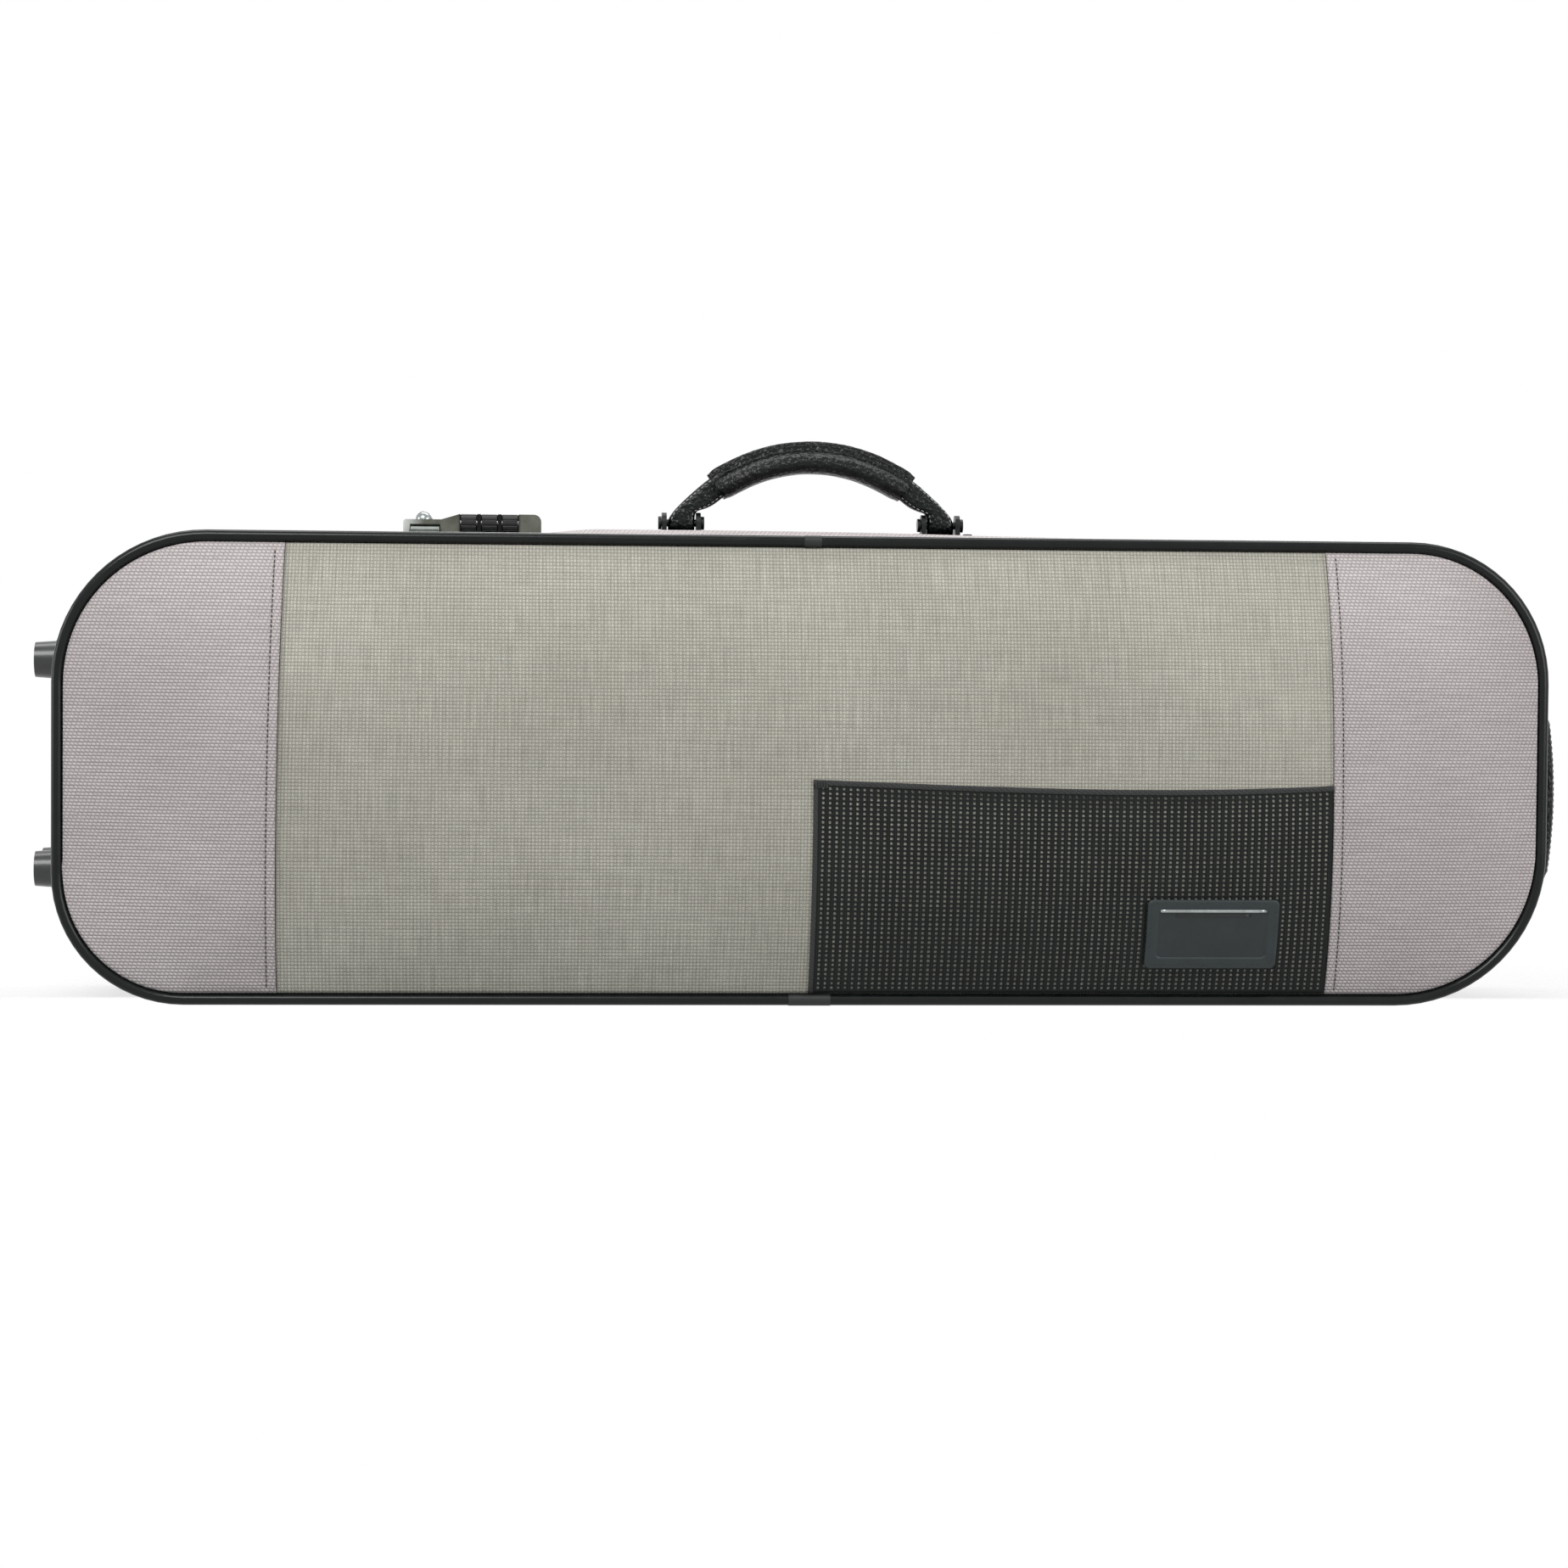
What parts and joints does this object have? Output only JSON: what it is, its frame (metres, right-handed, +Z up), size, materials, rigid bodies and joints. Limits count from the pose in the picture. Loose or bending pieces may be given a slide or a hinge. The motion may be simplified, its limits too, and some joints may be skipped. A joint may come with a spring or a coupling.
{
  "type": "violin case",
  "caption": "Oblong hard case for a full-size violin, with an arched fabric lid on hinges, a swinging top handle, a combination lock, an end handle and a fitted inside.",
  "frame": {"origin": "middle of the flat hinge side that the case stands on, at the middle of its length and of its depth over the edges", "axes": "+X along the length towards the end handle, +Y from the lid towards the back, +Z up towards the carry handle"},
  "size_m": [0.8205, 0.154, 0.2986],
  "materials": {
    "base_shell": "fabric-faced moulded board",
    "base_cover": "woven, ribbed",
    "base_piping": "satin",
    "base_wear_strip": "coarse matt",
    "valance": "velour over board",
    "base_lining": "velour",
    "violin_bed": "velour over foam",
    "suspension_pads": "velour over foam",
    "neck_cradle": "velour over foam",
    "neck_strap": "soft ribbon",
    "box_walls": "velour over board",
    "foot_front_upper": "satin",
    "foot_front_lower": "satin",
    "foot_back_upper": "satin",
    "foot_back_lower": "satin",
    "foot_screws": "zinc plated",
    "hinge_base_leaves": "satin",
    "hinge_pins": "bright",
    "lock_plate": "satin",
    "lock_housing": "satin",
    "lock_axle": "bright",
    "lock_screws": "bright",
    "handle_bracket_left": "satin",
    "handle_bracket_right": "satin",
    "handle_pins": "satin",
    "handle_rivets": "satin",
    "end_handle_plates": "satin",
    "end_handle_strap": "webbing",
    "end_handle_pad": "pebbled",
    "ring_tabs": "webbing",
    "lid_frame": "fabric-faced moulded board",
    "lid_panel": "moulded foam board",
    "lid_cover_centre": "fine grid weave",
    "lid_cover_left": "ribbed weave",
    "lid_cover_right": "ribbed weave",
    "lid_side_cover": "ribbed weave",
    "lid_wear_strip": "coarse matt",
    "lid_piping": "satin vinyl",
    "piping_clips": "matt",
    "lid_lining": "velour",
    "mesh_pocket": "black net",
    "pocket_binding": "grosgrain",
    "badge": "moulded, bare",
    "hasp": "satin",
    "hinge_lid_leaves": "satin",
    "bow_posts": "gloss",
    "bow_tip_loops": "velour",
    "handle_strap": "stitched",
    "handle_grip": "pebbled, stitched",
    "ring_left": "satin",
    "ring_right": "satin",
    "dial_left": "satin",
    "dial_middle": "satin",
    "dial_right": "satin",
    "lock_knob": "polished",
    "lock_bolt": "satin",
    "upper_box_lid": "velour over board",
    "lower_box_lid": "velour over board",
    "bow_clip_upper": "gloss",
    "bow_clip_lower": "gloss"
  },
  "bodies": {
    "base": {"base_shell": "base_shell", "base_cover": "base_cover", "base_piping": "base_piping", "base_wear_strip": "base_wear_strip", "valance": "valance", "base_lining": "base_lining", "violin_bed": "violin_bed", "suspension_pads": "suspension_pads", "neck_cradle": "neck_cradle", "neck_strap": "neck_strap", "box_walls": "box_walls", "foot_front_upper": "foot_front_upper", "foot_front_lower": "foot_front_lower", "foot_back_upper": "foot_back_upper", "foot_back_lower": "foot_back_lower", "foot_screws": "foot_screws", "hinge_base_leaves": "hinge_base_leaves", "hinge_pins": "hinge_pins", "lock_plate": "lock_plate", "lock_housing": "lock_housing", "lock_axle": "lock_axle", "lock_screws": "lock_screws", "handle_bracket_left": "handle_bracket_left", "handle_bracket_right": "handle_bracket_right", "handle_pins": "handle_pins", "handle_rivets": "handle_rivets", "end_handle_plates": "end_handle_plates", "end_handle_strap": "end_handle_strap", "end_handle_pad": "end_handle_pad", "ring_tabs": "ring_tabs"},
    "lid": {"lid_frame": "lid_frame", "lid_panel": "lid_panel", "lid_cover_centre": "lid_cover_centre", "lid_cover_left": "lid_cover_left", "lid_cover_right": "lid_cover_right", "lid_side_cover": "lid_side_cover", "lid_wear_strip": "lid_wear_strip", "lid_piping": "lid_piping", "piping_clips": "piping_clips", "lid_lining": "lid_lining", "mesh_pocket": "mesh_pocket", "pocket_binding": "pocket_binding", "badge": "badge", "hasp": "hasp", "hinge_lid_leaves": "hinge_lid_leaves", "bow_posts": "bow_posts", "bow_tip_loops": "bow_tip_loops"},
    "handle": {"handle_strap": "handle_strap", "handle_grip": "handle_grip"},
    "ring_left": {"ring_left": "ring_left"},
    "ring_right": {"ring_right": "ring_right"},
    "dial_left": {"dial_left": "dial_left"},
    "dial_middle": {"dial_middle": "dial_middle"},
    "dial_right": {"dial_right": "dial_right"},
    "lock_slide": {"lock_knob": "lock_knob", "lock_bolt": "lock_bolt"},
    "upper_box_lid": {"upper_box_lid": "upper_box_lid"},
    "lower_box_lid": {"lower_box_lid": "lower_box_lid"},
    "bow_clip_upper": {"bow_clip_upper": "bow_clip_upper"},
    "bow_clip_lower": {"bow_clip_lower": "bow_clip_lower"}
  },
  "joints": [
    {"name": "lid_hinge", "type": "hinge", "parent": "base", "child": "lid", "pos_m": [0, -0.019, 0.0036], "axis": [1, 0, 0], "range_deg": [0, 105]},
    {"name": "handle_swing", "type": "hinge", "parent": "base", "child": "handle", "pos_m": [0.004, 0.002, 0.254], "axis": [1, 0, 0], "range_deg": [-75, 75]},
    {"name": "ring_left_swing", "type": "hinge", "parent": "base", "child": "ring_left", "pos_m": [-0.29, 0.0649, 0.19], "axis": [1, 0, 0], "range_deg": [0, 150]},
    {"name": "ring_right_swing", "type": "hinge", "parent": "base", "child": "ring_right", "pos_m": [0.29, 0.0649, 0.19], "axis": [1, 0, 0], "range_deg": [0, 150]},
    {"name": "dial_left_spin", "type": "hinge", "parent": "base", "child": "dial_left", "pos_m": [-0.1795, -0.0085, 0.2524], "axis": [1, 0, 0], "continuous": true},
    {"name": "dial_middle_spin", "type": "hinge", "parent": "base", "child": "dial_middle", "pos_m": [-0.1685, -0.0085, 0.2524], "axis": [1, 0, 0], "continuous": true},
    {"name": "dial_right_spin", "type": "hinge", "parent": "base", "child": "dial_right", "pos_m": [-0.1575, -0.0085, 0.2524], "axis": [1, 0, 0], "continuous": true},
    {"name": "lock_slide", "type": "slide", "parent": "base", "child": "lock_slide", "axis": [-1, 0, 0], "range_m": [0, 0.004]},
    {"name": "upper_box_lid_hinge", "type": "hinge", "parent": "base", "child": "upper_box_lid", "pos_m": [0.1144, -0.0028, 0.1768], "axis": [1, 0, 0], "range_deg": [0, 90]},
    {"name": "lower_box_lid_hinge", "type": "hinge", "parent": "base", "child": "lower_box_lid", "pos_m": [0.1144, -0.0028, 0.0692], "axis": [-1, 0, 0], "range_deg": [0, 90]},
    {"name": "bow_clip_upper_turn", "type": "hinge", "parent": "lid", "child": "bow_clip_upper", "pos_m": [-0.235, -0.06, 0.156], "axis": [0, 1, 0], "range_deg": [0, 90]},
    {"name": "bow_clip_lower_turn", "type": "hinge", "parent": "lid", "child": "bow_clip_lower", "pos_m": [-0.235, -0.06, 0.09], "axis": [0, 1, 0], "range_deg": [0, 90]}
  ]
}
